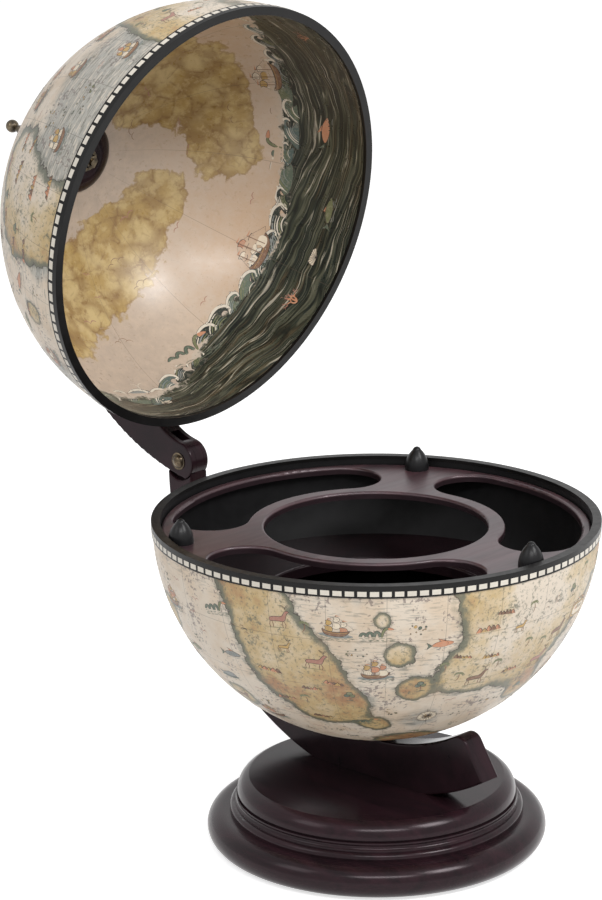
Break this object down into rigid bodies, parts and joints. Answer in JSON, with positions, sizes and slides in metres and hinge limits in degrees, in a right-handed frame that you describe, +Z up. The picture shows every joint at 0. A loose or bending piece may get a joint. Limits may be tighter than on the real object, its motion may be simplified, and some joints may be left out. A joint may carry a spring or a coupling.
{
  "type": "tabletop globe bar",
  "caption": "Hollow ball on a curved arm and a turned round plinth; its upper half swings back on a rear hinge to show a slotted tray for glasses and bottles.",
  "frame": {"origin": "centre of the plinth's underside, on the ball's vertical axis", "axes": "+Z up along the ball's axis, +Y from the ball towards the lid's hinge, +X along the hinge axis"},
  "size_m": [0.3312, 0.5611, 0.618],
  "materials": {
    "mahogany": "dark polished mahogany",
    "tray_wood": "satin dark stain",
    "black_lacquer": "satin black lacquer",
    "map_paper": "varnished printed paper",
    "sky_paper": "varnished printed paper",
    "rim_band": "black band with pale checks",
    "felt": "felt",
    "brass": "polished",
    "antique_brass": "dark antique",
    "steel": "plain"
  },
  "bodies": {
    "stand": {"base_felt": "felt", "plinth": "mahogany", "plinth_screws": "steel", "plinth_washers": "steel", "lower_arm": "mahogany", "arm_insert": "brass", "bowl_spacer": "mahogany", "bowl_shell": "black_lacquer", "bowl_print": "map_paper", "bowl_rim_ring": "rim_band", "bowl_boss": "mahogany", "bowl_washer": "brass", "bowl_bolt": "brass", "rack_board": "tray_wood", "tray": "tray_wood", "tray_cleats": "tray_wood", "tray_knob_right": "black_lacquer", "tray_knob_left": "black_lacquer", "tray_knob_front": "black_lacquer", "knob_screws": "steel"},
    "lid": {"upper_arm": "mahogany", "lid_spacer": "mahogany", "lid_shell": "black_lacquer", "lid_print": "map_paper", "lid_lining": "sky_paper", "lid_rim_ring": "rim_band", "lid_boss": "mahogany", "pole_washer": "antique_brass", "pole_nut": "antique_brass", "pole_stud": "antique_brass", "pole_finial": "antique_brass", "hinge_pin": "brass", "hinge_washers": "brass", "hinge_cap_nut": "brass"}
  },
  "joints": [
    {"name": "lid_hinge", "type": "hinge", "parent": "stand", "child": "lid", "pos_m": [0, 0.1985, 0.25877], "axis": [1, 0, 0], "range_deg": [0, 79.4]}
  ]
}
